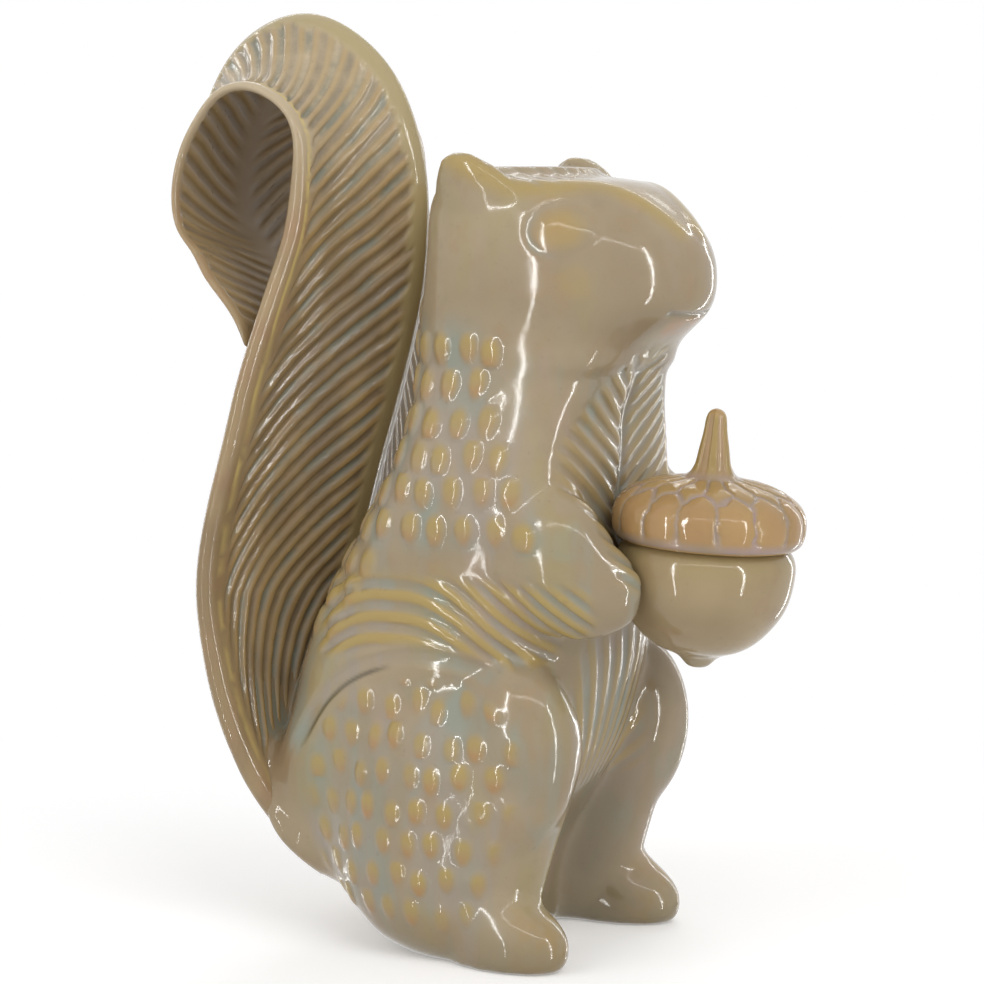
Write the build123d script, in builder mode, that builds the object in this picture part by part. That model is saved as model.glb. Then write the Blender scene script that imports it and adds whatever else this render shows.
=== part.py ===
"""Squirrel figurine that sits upright and holds an acorn pot with a loose cap.

Glazed ceramic castings, luted together, in millimetres. +X is the way the squirrel faces, +Y its left
and +Z up. The origin is on the ground in the mid-plane, on the flat of the foot.
"""
from build123d import *
import os
from math import copysign, cos, pi, radians, sin

# Overall sizes
overall_height = 290.0
seam_height = 178.0
head_top_height = 240.0
chest_reach = 49.5
muzzle_reach = 73.0
rump_reach = 61.3
body_half_width = 48.0
head_half_width = 38.0

# The castings
wall = 5.0
drain_diameter = 12.0
drain_back = 9.0
overrun = 2.0

# Haunches, legs and feet
haunch_height = 94.0
haunch_half_length = 42.0
haunch_half_thickness = 21.0
haunch_spacing = 32.0
leg_height = 92.0
leg_reach = 49.5
leg_half_width = 15.0
foot_spacing = 35.5
foot_splay = 5.0

# Arms
arm_reach = 66.0
arm_height = 122.0
arm_spacing = 34.0
arm_radius = 22.0
arm_thinness_share = 0.64

# Ears
ear_height = 243.6
ear_spacing = 37.0
ear_half_length = 18.0
ear_half_width = 11.0
ear_forward = 10.0

# Tail
tail_reach = 114.0
tail_half_width = 58.0
tail_thickness = 10.0

# Carving
gouge_radius = 1.2
gouge_run = 45.0
gouge_spacing = 17.0
tail_length = 390.0
tuft_radius = 5.0
tuft_rise = 1.2

# Acorn pot and its cap
acorn_forward = 73.9
acorn_seat_height = 127.5
acorn_tilt = 4.5
bowl_radius = 27.0
bowl_depth = 38.0
mouth_radius = 21.0
cup_wall = 3.8
cup_depth = 31.0
cap_radius = 28.8
cap_height = 20.6
stem_height = 20.0
stem_radius = 6.0
seat_gap = 0.3
ring_clearance = 0.6
ring_depth = 5.0
ring_wall = 2.6
ring_outer_radius = mouth_radius - ring_clearance
ring_inner_radius = ring_outer_radius - ring_wall

# Each outline is a rounded box in plan, squarer at the back than at the front of the head.
outline_points = 24
widest_share = 0.42

# Height, back, front and half width of the torso, then how square its back and front are.
torso_shares = [
    (0.000, 0.39, 0.30, 0.64, 2.4, 2.3),
    (0.025, 0.49, 0.30, 0.72, 2.4, 2.3),
    (0.060, 0.59, 0.31, 0.80, 2.4, 2.3),
    (0.150, 0.75, 0.38, 0.89, 2.4, 2.4),
    (0.240, 0.88, 0.56, 0.94, 2.4, 2.4),
    (0.330, 0.98, 0.74, 0.98, 2.4, 2.5),
    (0.430, 1.00, 0.85, 1.00, 2.4, 2.6),
    (0.530, 0.90, 0.90, 1.00, 2.4, 2.8),
    (0.625, 0.75, 0.955, 0.99, 2.5, 3.0),
    (0.675, 0.66, 0.955, 0.975, 2.55, 3.1),
    (0.725, 0.56, 0.905, 0.965, 2.6, 3.9),
    (0.815, 0.39, 0.905, 0.945, 2.7, 5.0),
    (0.905, 0.283, 0.93, 0.875, 2.8, 4.6),
    (0.955, 0.260, 0.97, 0.815, 2.9, 4.0),
    (1.000, 0.246, 1.00, 0.771, 3.0, 3.6),
]

# The same for the head, as shares of its own height above the seam, reach and half width.
head_shares = [
    (0.00, 0.207, 0.678, 0.974, 3.0, 3.6),
    (0.10, 0.211, 0.760, 0.974, 3.0, 3.0),
    (0.20, 0.213, 0.860, 0.980, 3.0, 2.4),
    (0.31, 0.205, 0.965, 0.990, 3.0, 2.2),
    (0.44, 0.180, 1.000, 1.000, 3.2, 2.1),
    (0.59, 0.165, 0.980, 1.000, 3.2, 2.1),
    (0.72, 0.158, 0.910, 0.985, 3.2, 2.1),
    (0.84, 0.145, 0.800, 0.930, 3.2, 2.2),
    (0.93, 0.115, 0.645, 0.820, 3.0, 2.3),
    (1.00, 0.030, 0.450, 0.560, 2.6, 2.3),
]

# Height, centre, half length and half thickness of a haunch.
haunch_shares = [
    (0.00, 0.17, 0.40, 0.42),
    (0.03, 0.10, 0.51, 0.58),
    (0.09, 0.03, 0.66, 0.76),
    (0.22, -0.02, 0.83, 0.91),
    (0.38, 0.00, 0.92, 0.98),
    (0.54, 0.07, 0.98, 1.00),
    (0.70, 0.14, 1.00, 0.95),
    (0.83, 0.19, 0.90, 0.78),
    (0.93, 0.19, 0.69, 0.54),
    (1.00, 0.17, 0.38, 0.26),
]

# Height, front, half length and half width of a leg from the sole of its foot to the knee.
leg_shares = [
    (0.00, 0.88, 0.40, 0.76),
    (0.045, 0.935, 0.43, 0.84),
    (0.11, 0.92, 0.42, 0.86),
    (0.17, 0.82, 0.38, 0.82),
    (0.25, 0.66, 0.32, 0.77),
    (0.33, 0.66, 0.33, 0.82),
    (0.47, 0.84, 0.41, 0.93),
    (0.61, 0.96, 0.45, 1.00),
    (0.74, 0.985, 0.45, 1.00),
    (0.86, 0.94, 0.40, 0.90),
    (0.95, 0.84, 0.31, 0.70),
    (1.00, 0.72, 0.19, 0.42),
]

# Forward place, sideways place, height and radius of an arm from the shoulder to the paw.
arm_shares = [
    (0.27, 0.80, 1.07, 0.86),
    (0.48, 0.94, 1.04, 1.00),
    (0.66, 0.99, 0.985, 0.92),
    (0.80, 0.95, 0.945, 0.73),
    (0.92, 0.88, 0.93, 0.52),
    (1.00, 0.82, 0.92, 0.22),
]

# Height, forward place, half length, half width and sideways place of an ear.
ear_shares = [
    (0.925, 1.45, 1.00, 1.00, 0.70),
    (0.955, 1.28, 0.84, 0.74, 0.82),
    (0.980, 1.08, 0.58, 0.48, 0.92),
    (0.994, 0.97, 0.36, 0.30, 0.97),
    (1.000, 0.92, 0.16, 0.14, 0.985),
]

# The tail's stations from its root to the tip of the curl: how far behind the origin and how high the
# ridge lies, then the same for the side edges, then the half width and how thick the middle is.
stem_shares = [
    (0.193, 0.090, 0.331, 0.069, 0.62, 1.30),
    (0.316, 0.145, 0.447, 0.117, 0.74, 1.30),
    (0.404, 0.193, 0.502, 0.169, 0.81, 1.30),
    (0.456, 0.238, 0.546, 0.221, 0.88, 1.30),
    (0.482, 0.283, 0.578, 0.272, 0.93, 1.30),
    (0.487, 0.326, 0.596, 0.324, 0.97, 1.25),
    (0.474, 0.369, 0.602, 0.379, 1.00, 1.20),
    (0.443, 0.414, 0.582, 0.441, 1.00, 1.15),
    (0.382, 0.498, 0.523, 0.528, 0.99, 1.10),
    (0.325, 0.566, 0.486, 0.593, 0.96, 1.05),
    (0.272, 0.634, 0.457, 0.655, 0.88, 1.00),
    (0.235, 0.693, 0.436, 0.709, 0.78, 1.00),
    (0.219, 0.748, 0.415, 0.759, 0.70, 1.00),
    (0.219, 0.810, 0.412, 0.810, 0.65, 1.00),
    (0.250, 0.869, 0.419, 0.855, 0.63, 1.00),
    (0.320, 0.928, 0.460, 0.888, 0.62, 1.00),
    (0.439, 0.974, 0.537, 0.910, 0.62, 1.00),
    (0.579, 0.998, 0.616, 0.919, 0.62, 1.00),
]
curl_shares = [
    (0.579, 0.998, 0.616, 0.919, 0.62, 1.00),
    (0.728, 0.993, 0.701, 0.912, 0.62, 1.00),
    (0.864, 0.959, 0.768, 0.886, 0.63, 1.00),
    (0.952, 0.903, 0.822, 0.850, 0.64, 1.00),
    (0.996, 0.838, 0.845, 0.803, 0.66, 1.00),
    (0.991, 0.769, 0.820, 0.762, 0.68, 1.00),
    (0.921, 0.709, 0.754, 0.736, 0.72, 1.00),
    (0.811, 0.662, 0.696, 0.707, 0.75, 1.00),
    (0.702, 0.645, 0.615, 0.676, 0.78, 1.00),
    (0.601, 0.628, 0.558, 0.643, 0.80, 0.90),
    (0.553, 0.616, 0.543, 0.622, 0.78, 0.70),
]

# Half of the tail's cross-section in three runs, each from the end of the last: down the front face from
# the ridge, round the side edge, and over the scooped back to the middle. A point is given as its share
# of the half width across, then of the ridge's rise and of the thickness, which is taken off the rise.
front_shares = [(0.00, 1.00, 0.00), (0.22, 0.96, 0.00), (0.34, 0.03, 0.00), (0.93, 0.02, 0.00)]
crest_shares = [(0.93, 0.02, 0.00), (1.02, 0.02, 0.08), (1.02, 0.00, 0.47), (0.93, 0.00, 0.55)]
scoop_shares = [(0.93, 0.00, 0.55), (0.62, 0.00, 0.56), (0.40, 0.68, 1.00), (0.00, 0.72, 1.00)]

# Gouges on the tail's front face: the places of a gouge between ridge and edge, as shares of the front
# run, and how much of the gouge's slant has been taken by there. They slant less towards the curl.
gouge_place_shares = [(0.26, 0.00), (0.52, 0.32), (0.74, 0.66), (0.90, 1.00)]
root_slant_share = 1.9
curl_slant_share = 0.45
curl_place_share = 0.66
first_gouge_share = 0.27
last_gouge_share = 0.965

# Tufts on each side: forward place, sideways place and height of a tuft on the body's skin.
tuft_shares = [
    (-0.05, 0.958, 0.737),
    (0.335, 0.956, 0.743),
    (0.135, 0.940, 0.823),
    (0.500, 0.938, 0.806),
    (0.075, 0.870, 0.902),
    (0.430, 0.812, 0.956),
    (-0.350, 0.995, 0.440),
    (-0.065, 1.047, 0.393),
    (0.283, 1.084, 0.324),
    (-0.313, 1.045, 0.321),
    (-0.560, 0.960, 0.242),
    (-0.002, 1.095, 0.236),
    (0.422, 1.047, 0.256),
    (0.026, 1.072, 0.145),
    (0.335, 1.030, 0.158),
    (-0.420, 1.000, 0.131),
]

# Flank gouges on each side, given like the tufts.
flank_shares = [
    [(-0.50, 0.977, 0.554), (-0.20, 0.996, 0.571), (0.10, 0.992, 0.561), (0.30, 0.968, 0.530)],
    [(-0.44, 0.982, 0.598), (-0.16, 0.995, 0.608), (0.10, 0.990, 0.598), (0.30, 0.970, 0.567)],
    [(-0.28, 0.993, 0.644), (0.00, 0.994, 0.642), (0.20, 0.982, 0.622), (0.40, 0.945, 0.578)],
]

# Points down the outside of the pot and down its inside, as across and down.
bowl_shares = [
    (0.985, 0.09),
    (1.00, 0.26),
    (0.94, 0.46),
    (0.76, 0.67),
    (0.46, 0.84),
    (0.20, 0.925),
    (0.11, 0.985),
]
cup_space_shares = [(0.985, 0.20), (0.96, 0.45), (0.80, 0.72), (0.45, 0.94)]

# Points up the outside of the cap and of its stem, as across and up.
cap_rim_share = 0.955
cap_shares = [(1.00, 0.20), (0.985, 0.49), (0.86, 0.72), (0.51, 0.905)]
stem_side_shares = [(1.12, 0.06), (0.82, 0.36), (0.60, 0.72), (0.36, 0.955)]
cap_ceiling_share = 0.55
cap_recess_share = 0.80


def superellipse(back, front, half_width, back_square, front_square):
    """Points round a plan outline whose widest place is nearer to its back than to its front."""
    widest = back + widest_share * (front - back)
    points = []
    for step in range(outline_points):
        turn = 2 * pi * step / outline_points
        square = front_square if cos(turn) > 0 else back_square
        reach = front - widest if cos(turn) > 0 else widest - back
        along = widest + reach * copysign(abs(cos(turn)) ** (2 / square), cos(turn))
        across = half_width * copysign(abs(sin(turn)) ** (2 / square), sin(turn))
        points.append((along, across))
    return points


def plan_loft(rows):
    """Loft of plan outlines, each given by its height, back, front, half width and squareness."""
    with BuildPart() as form:
        for height, back, front, half_width, back_square, front_square in rows:
            with BuildSketch(Plane.XY.offset(height)):
                with BuildLine():
                    Spline(*superellipse(back, front, half_width, back_square, front_square), periodic=True)
                make_face()
        loft()
    return form.part


def torso_form(skin, bottom, top):
    """The torso, or the space inside it at a depth of skin, between two heights."""
    rows = []
    for height_share, back_share, front_share, width_share, back_square, front_square in torso_shares:
        height = bottom + height_share * (top - bottom)
        back = skin - back_share * rump_reach
        front = front_share * chest_reach - skin
        rows.append((height, back, front, width_share * body_half_width - skin, back_square, front_square))
    return plan_loft(rows)


def head_form(skin, bottom, top):
    """The head, or the space inside it at a depth of skin, between two heights."""
    rows = []
    for height_share, back_share, front_share, width_share, back_square, front_square in head_shares:
        height = bottom + height_share * (top - bottom)
        back = skin - back_share * muzzle_reach
        front = front_share * muzzle_reach - skin
        rows.append((height, back, front, width_share * head_half_width - skin, back_square, front_square))
    return plan_loft(rows)


def haunch_form(side, skin):
    """A rounded haunch on one side of the body, or the space inside it at a depth of skin."""
    with BuildPart() as form:
        for height_share, centre_share, length_share, width_share in haunch_shares:
            height = skin + height_share * (haunch_height - 2 * skin)
            half_length = length_share * (haunch_half_length - skin)
            half_width = width_share * (haunch_half_thickness - skin)
            centre = (centre_share * haunch_half_length, side * haunch_spacing)
            with BuildSketch(Plane.XY.offset(height)):
                with Locations(centre):
                    Ellipse(half_length, half_width)
        loft()
    return form.part


def leg_form(side, skin):
    """A shin with its foot, turned out a little at the toes, or the space inside it at a depth of skin."""
    with BuildPart() as form:
        for height_share, front_share, length_share, width_share in leg_shares:
            height = skin + height_share * (leg_height - 2 * skin)
            half_length = length_share * leg_reach
            centre = (front_share * leg_reach - half_length, side * foot_spacing)
            with BuildSketch(Plane.XY.offset(height)):
                with Locations(Location((*centre, 0), (0, 0, side * foot_splay))):
                    Ellipse(half_length - skin, width_share * leg_half_width - skin)
        loft()
    return form.part


def arm_form(side):
    """An upper arm that narrows to a rounded paw."""
    places = []
    for forward_share, spacing_share, height_share, radius_share in arm_shares:
        place = Vector(forward_share * arm_reach, side * spacing_share * arm_spacing, height_share * arm_height)
        places.append((place, radius_share * arm_radius))
    with BuildPart() as form:
        for index, (place, radius) in enumerate(places):
            before = places[max(index - 1, 0)][0]
            after = places[min(index + 1, len(places) - 1)][0]
            run = (after - before).normalized()
            sideways = Vector(-run.Y, run.X, 0).normalized()
            with BuildSketch(Plane(origin=place, x_dir=sideways, z_dir=run)):
                Ellipse(arm_thinness_share * radius, radius)
        loft()
    return form.part


def ear_form(side):
    """A rounded triangular ear that stands on the back corner of the head."""
    with BuildPart() as form:
        for height_share, forward_share, length_share, width_share, spacing_share in ear_shares:
            centre = (forward_share * ear_forward, side * spacing_share * ear_spacing)
            with BuildSketch(Plane.XY.offset(height_share * ear_height)):
                with Locations(centre):
                    Ellipse(length_share * ear_half_length, width_share * ear_half_width)
        loft()
    return form.part


def leaf_outline(rise, half_width, thickness):
    """Closed outline of the tail's leaf: a rounded ridge in front and a scoop behind."""
    for side in (-1, 1):
        for run_shares in (front_shares, crest_shares, scoop_shares):
            points = []
            for across_share, rise_share, thickness_share in run_shares:
                along = rise_share * rise - thickness_share * thickness
                points.append((side * across_share * half_width, along))
            Bezier(*points)


def leaf_form(stations):
    """Loft of leaf outlines, each in the plane through the side edges and the ridge."""
    with BuildPart() as form:
        for ridge_back, ridge_up, edge_back, edge_up, width_share, thickness_share in stations:
            ridge = Vector(-ridge_back * tail_reach, 0, ridge_up * overall_height)
            edge = Vector(-edge_back * tail_reach, 0, edge_up * overall_height)
            rise = ridge - edge
            run = Vector(0, 1, 0).cross(rise).normalized()
            with BuildSketch(Plane(origin=edge, x_dir=(0, 1, 0), z_dir=run)):
                with BuildLine():
                    half_width = width_share * tail_half_width
                    leaf_outline(rise.length, half_width, thickness_share * tail_thickness)
                make_face()
        loft()
    return form.part


def bezier_point(points, share):
    """Across and up of a cubic Bezier curve at a share of its run."""
    left = 1 - share
    weights = (left**3, 3 * share * left**2, 3 * share**2 * left, share**3)
    return [sum(weight * point[index] for weight, point in zip(weights, points)) for index in (0, 1)]


def tail_guide(side, place_share):
    """Line along the whole tail on its front face, at one place between the ridge and the edge."""
    across_share, rise_share = bezier_point(front_shares, place_share)
    points, middles = [], []
    for ridge_back, ridge_up, edge_back, edge_up, width_share, _ in stem_shares + curl_shares[1:]:
        ridge = Vector(-ridge_back * tail_reach, 0, ridge_up * overall_height)
        edge = Vector(-edge_back * tail_reach, 0, edge_up * overall_height)
        sideways = Vector(0, side * across_share * width_share * tail_half_width, 0)
        points.append(edge + (ridge - edge) * rise_share + sideways)
        middles.append((ridge + edge) * 0.5)
    gone = [0]
    for before, after in zip(middles, middles[1:]):
        gone.append(gone[-1] + (after - before).length)
    return Edge.make_spline(points, parameters=[length / gone[-1] for length in gone])


def rod(points, radius):
    """Round rod along a smooth line through the points."""
    with BuildPart() as form:
        with BuildLine() as path:
            Spline(*points)
        with BuildSketch(Plane(origin=path.line @ 0, z_dir=path.line % 0)):
            Circle(radius)
        sweep()
    return form.part


def tail_gouges(side):
    """Rods that cut the gouges on one half of the tail's front face."""
    guides = [(tail_guide(side, place_share), slant_share) for place_share, slant_share in gouge_place_shares]
    rods = []
    share = first_gouge_share
    while share < last_gouge_share:
        bend_share = min(share / curl_place_share, 1)
        slant_share = root_slant_share + (curl_slant_share - root_slant_share) * bend_share
        run_share = slant_share * gouge_run / tail_length
        points = [guide.position_at(share - taken_share * run_share) for guide, taken_share in guides]
        rods.append(rod(points, gouge_radius))
        share += gouge_spacing / tail_length
    return rods


def skin_place(side, shares, depth):
    """A place on one side of the body's skin, or at a depth under it."""
    forward_share, sideways_share, height_share = shares
    sideways = side * (sideways_share * body_half_width - depth)
    return Vector(forward_share * chest_reach, sideways, height_share * seam_height)


acorn_frame = Plane(
    origin=(acorn_forward, 0, acorn_seat_height),
    x_dir=(cos(radians(acorn_tilt)), 0, -sin(radians(acorn_tilt))),
    z_dir=(sin(radians(acorn_tilt)), 0, cos(radians(acorn_tilt))),
)
acorn_section = Plane(origin=acorn_frame.origin, x_dir=acorn_frame.x_dir, z_dir=-acorn_frame.y_dir)


def turned(outline_maker):
    """Solid of revolution about the acorn's axis, from a function that draws its outline."""
    with BuildPart() as form:
        with BuildSketch(acorn_section):
            with BuildLine():
                outline_maker()
            make_face()
        revolve(axis=Axis(acorn_frame.origin, acorn_frame.z_dir))
    return form.part


def bowl_outline():
    """Half outline of the pot's outside, from the middle of its mouth to the tip underneath."""
    rim = (mouth_radius + cup_wall, 0)
    side = [(across * bowl_radius, -down * bowl_depth) for across, down in bowl_shares]
    tip = (0, -bowl_depth)
    Line((0, 0), rim)
    Spline(rim, *side, tip)
    Line(tip, (0, 0))


def cup_space_outline():
    """Half outline of the space in the pot, which runs out through its mouth."""
    inner_radius = bowl_radius - cup_wall
    side = [(across * inner_radius, -down * cup_depth) for across, down in cup_space_shares]
    floor = (0, -cup_depth)
    Polyline((0, overrun), (mouth_radius, overrun), (mouth_radius, 0))
    Spline((mouth_radius, 0), *side, floor)
    Line(floor, (0, overrun))


def cap_outline():
    """Half outline of the cap's outside with its stem, standing on the flat of its rim."""
    rim = (cap_rim_share * cap_radius, seat_gap)
    dome = [(across * cap_radius, up * cap_height) for across, up in cap_shares]
    stem = [(across * stem_radius, cap_height + up * stem_height) for across, up in stem_side_shares]
    tip = (0, cap_height + stem_height)
    Line((0, seat_gap), rim)
    Spline(rim, *dome, *stem, tip)
    Line(tip, (0, seat_gap))


def cap_space_outline():
    """Half outline of the recess under the cap, inside its locating ring."""
    ceiling = cap_ceiling_share * cap_height
    corner = (cap_recess_share * ring_inner_radius, ceiling)
    Polyline((0, -ring_depth - overrun), (ring_inner_radius, -ring_depth - overrun), (ring_inner_radius, 0))
    Polyline((ring_inner_radius, 0), corner, (0, ceiling), (0, -ring_depth - overrun))


with BuildPart() as body_outside:
    add(torso_form(0, 0, seam_height))
    for side in (-1, 1):
        add(haunch_form(side, 0))
        add(leg_form(side, 0))
body_outer = body_outside.part
bowl_outer = turned(bowl_outline)

with BuildPart() as body_shell:
    add(body_outer)
    for side in (-1, 1):
        for shares in tuft_shares:
            with Locations(skin_place(side, shares, tuft_radius - tuft_rise)):
                Sphere(tuft_radius)
        for line_shares in flank_shares:
            line = [skin_place(side, shares, 0) for shares in line_shares]
            add(rod(line, gouge_radius), mode=Mode.SUBTRACT)
    add(bowl_outer, mode=Mode.SUBTRACT)
    add(torso_form(wall, wall, seam_height + overrun), mode=Mode.SUBTRACT)
    for side in (-1, 1):
        add(haunch_form(side, wall), mode=Mode.SUBTRACT)
        add(leg_form(side, wall), mode=Mode.SUBTRACT)
    with BuildSketch(Plane.XY.offset(-overrun)):
        with Locations((-drain_back, 0)):
            Circle(drain_diameter / 2)
    extrude(amount=wall + 2 * overrun, mode=Mode.SUBTRACT)
body_shell.part.label = "body_shell"

with BuildPart() as head_shell:
    add(head_form(0, seam_height, head_top_height))
    for side in (-1, 1):
        add(ear_form(side))
    add(head_form(wall, seam_height - overrun, head_top_height - wall), mode=Mode.SUBTRACT)
head_shell.part.label = "head_shell"

with BuildPart() as tail:
    add(leaf_form(stem_shares))
    add(leaf_form(curl_shares))
    for side in (-1, 1):
        add(tail_gouges(side), mode=Mode.SUBTRACT)
    add(body_outer, mode=Mode.SUBTRACT)
tail.part.label = "tail"

with BuildPart() as left_arm:
    add(arm_form(1))
    add(body_outer, mode=Mode.SUBTRACT)
    add(bowl_outer, mode=Mode.SUBTRACT)
left_arm.part.label = "left_arm"

with BuildPart() as right_arm:
    add(arm_form(-1))
    add(body_outer, mode=Mode.SUBTRACT)
    add(bowl_outer, mode=Mode.SUBTRACT)
right_arm.part.label = "right_arm"

with BuildPart() as acorn_cup:
    add(bowl_outer)
    add(turned(cup_space_outline), mode=Mode.SUBTRACT)
acorn_cup.part.label = "acorn_cup"

with BuildPart() as acorn_lid:
    add(turned(cap_outline))
    with BuildSketch(acorn_frame.offset(-ring_depth)):
        Circle(ring_outer_radius)
    extrude(amount=ring_depth + wall)
    add(turned(cap_space_outline), mode=Mode.SUBTRACT)
acorn_lid.part.label = "acorn_lid"

os.makedirs("parts", exist_ok=True)
for piece in (body_shell, head_shell, tail, left_arm, right_arm, acorn_cup, acorn_lid):
    export_step(piece.part, "parts/" + piece.part.label + ".step")
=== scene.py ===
"""How the squirrel figurine looks: its carved relief, its flowing glazes, the light and the camera.

Everything is in metres in the model's own frame: +X is the way the squirrel faces, +Y its left, +Z up.
The carving is worked out in millimetres, because that is how its sizes are given.
"""

from math import cos, pi, radians, sin, sqrt

import bmesh
import bpy
import numpy as np
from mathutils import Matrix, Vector


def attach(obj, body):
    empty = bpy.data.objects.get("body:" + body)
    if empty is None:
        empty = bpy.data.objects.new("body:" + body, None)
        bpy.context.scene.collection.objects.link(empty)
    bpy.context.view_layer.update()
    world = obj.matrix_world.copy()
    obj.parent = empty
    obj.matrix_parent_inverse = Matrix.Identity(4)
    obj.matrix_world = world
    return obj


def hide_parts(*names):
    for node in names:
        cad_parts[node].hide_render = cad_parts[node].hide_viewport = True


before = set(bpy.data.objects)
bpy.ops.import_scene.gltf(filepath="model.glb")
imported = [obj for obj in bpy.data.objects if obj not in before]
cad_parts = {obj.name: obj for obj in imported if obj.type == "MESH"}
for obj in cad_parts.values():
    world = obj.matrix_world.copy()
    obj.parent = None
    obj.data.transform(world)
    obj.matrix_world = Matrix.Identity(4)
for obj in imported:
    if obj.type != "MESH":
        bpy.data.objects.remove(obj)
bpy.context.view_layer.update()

MM = 0.001

# The tail's sizes in millimetres, the same as in the solids.
OVERALL_HEIGHT = 290.0
TAIL_REACH = 114.0
TAIL_HALF_WIDTH = 58.0
TAIL_THICKNESS = 10.0

# Where the tail runs, from its root to the tip of the curl: how far behind the origin the ridge lies, as a
# share of the reach, and how high, as a share of the overall height, the same for the side edges, then the
# shares of the half width and of the thickness.
TAIL_SHARES = [
    (0.193, 0.090, 0.331, 0.069, 0.62, 1.30),
    (0.316, 0.145, 0.447, 0.117, 0.74, 1.30),
    (0.404, 0.193, 0.502, 0.169, 0.81, 1.30),
    (0.456, 0.238, 0.546, 0.221, 0.88, 1.30),
    (0.482, 0.283, 0.578, 0.272, 0.93, 1.30),
    (0.487, 0.326, 0.596, 0.324, 0.97, 1.25),
    (0.474, 0.369, 0.602, 0.379, 1.00, 1.20),
    (0.443, 0.414, 0.582, 0.441, 1.00, 1.15),
    (0.382, 0.498, 0.523, 0.528, 0.99, 1.10),
    (0.325, 0.566, 0.486, 0.593, 0.96, 1.05),
    (0.272, 0.634, 0.457, 0.655, 0.88, 1.00),
    (0.235, 0.693, 0.436, 0.709, 0.78, 1.00),
    (0.219, 0.748, 0.415, 0.759, 0.70, 1.00),
    (0.219, 0.810, 0.412, 0.810, 0.65, 1.00),
    (0.250, 0.869, 0.419, 0.855, 0.63, 1.00),
    (0.320, 0.928, 0.460, 0.888, 0.62, 1.00),
    (0.439, 0.974, 0.537, 0.910, 0.62, 1.00),
    (0.579, 0.998, 0.616, 0.919, 0.62, 1.00),
    (0.728, 0.993, 0.701, 0.912, 0.62, 1.00),
    (0.864, 0.959, 0.768, 0.886, 0.63, 1.00),
    (0.952, 0.903, 0.822, 0.850, 0.64, 1.00),
    (0.996, 0.838, 0.845, 0.803, 0.66, 1.00),
    (0.991, 0.769, 0.820, 0.762, 0.68, 1.00),
    (0.921, 0.709, 0.754, 0.736, 0.72, 1.00),
    (0.811, 0.662, 0.696, 0.707, 0.75, 1.00),
    (0.702, 0.645, 0.615, 0.676, 0.78, 1.00),
    (0.601, 0.628, 0.558, 0.643, 0.80, 0.90),
    (0.553, 0.616, 0.543, 0.622, 0.78, 0.70),
]

# Half of the tail's cross-section in three runs: down the front face from the ridge, round the side edge, and
# over the scooped back to the middle. A point is given as its share of the half width across, then of the
# ridge's rise and of the thickness, which is taken off the rise.
FRONT_RUN = [(0.00, 1.00, 0.00), (0.22, 0.96, 0.00), (0.34, 0.03, 0.00), (0.93, 0.02, 0.00)]
CREST_RUN = [(0.93, 0.02, 0.00), (1.02, 0.02, 0.08), (1.02, 0.00, 0.47), (0.93, 0.00, 0.55)]
SCOOP_RUN = [(0.93, 0.00, 0.55), (0.62, 0.00, 0.56), (0.40, 0.68, 1.00), (0.00, 0.72, 1.00)]
# The same two runs on the curl, where the rim is finer and the inner face flatter.
CURL_CREST_RUN = [(0.93, 0.02, 0.00), (1.02, 0.02, 0.04), (1.02, 0.00, 0.22), (0.93, 0.00, 0.27)]
CURL_SCOOP_RUN = [(0.93, 0.00, 0.27), (0.62, 0.08, 0.34), (0.40, 0.26, 0.62), (0.00, 0.30, 0.72)]

# How steeply the tail's gouges lean from the ridge to the edge, by how far along the tail they are.
GOUGE_LEAN = [
    (0.00, 2.6), (0.12, 2.1), (0.22, 1.35), (0.34, 1.12),
    (0.46, 0.92), (0.56, 0.72), (0.68, 0.5), (1.0, 0.42),
]
# How far apart the gouges lie in millimetres, and how their lean and number differ on the scooped back.
GOUGE_PITCH = 4.4
SCOOP_LEAN = 1.5
SCOOP_TURNS = 0.66

# How many cross-sections the tail's mesh has, where the curl's own runs come in as shares of the tail's
# length, how long its rounded tip is in millimetres, and a distance that no gouge reaches.
TAIL_ROWS = 540
CURL_BEGINS = 0.50
CURL_IS_FULL = 0.64
TIP_LENGTH = 5.0
OUT_OF_REACH = 1e3

# The stretch of the tail that is fused into the rump, and the swellings that carry it on the left side: the
# middle and the half sizes of each, in millimetres.
ROOT_LENGTH = 74.0
HIPS = [
    ((-35.0, 22.0, 36.0), (19.0, 19.0, 23.0)),
    ((-44.0, 30.0, 55.0), (14.0, 16.0, 24.0)),
    ((-30.0, 20.0, 25.0), (13.5, 15.0, 14.0)),
]

# The drain hole in the underside, and the plug that closes it in the skin before it is carved again.
DRAIN_FORWARD = -9.0
DRAIN_DEPTH = 4.5
PLUG_RADIUS = 6.4
PLUG_HEIGHT = 5.0

# The haunch's middle and radii seen from the side, and places on the face, in millimetres.
HAUNCH_MIDDLE = (2.0, 45.0)
HAUNCH_RADII = (51.0, 48.5)
SQUIRREL_EYE = (42.4, 34.1, 220.9)
MOUTH_HEIGHT = 195.4
LIP_HEIGHT = 191.8

# The skin's voxels in millimetres, the rounds of smoothing all over and at the tail's root, and the most
# triangles that a piece keeps.
SKIN_VOXEL = 1.6
SOFTEN_ROUNDS = 9
FLOW_ROUNDS = 110
MOST_TRIANGLES = 192000
CAP_TRIANGLES = 120000

# The acorn stands on its own leaning axis.
ACORN_SEAT = Vector((73.9, 0.0, 127.5)) * MM
ACORN_TILT = radians(4.5)

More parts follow.
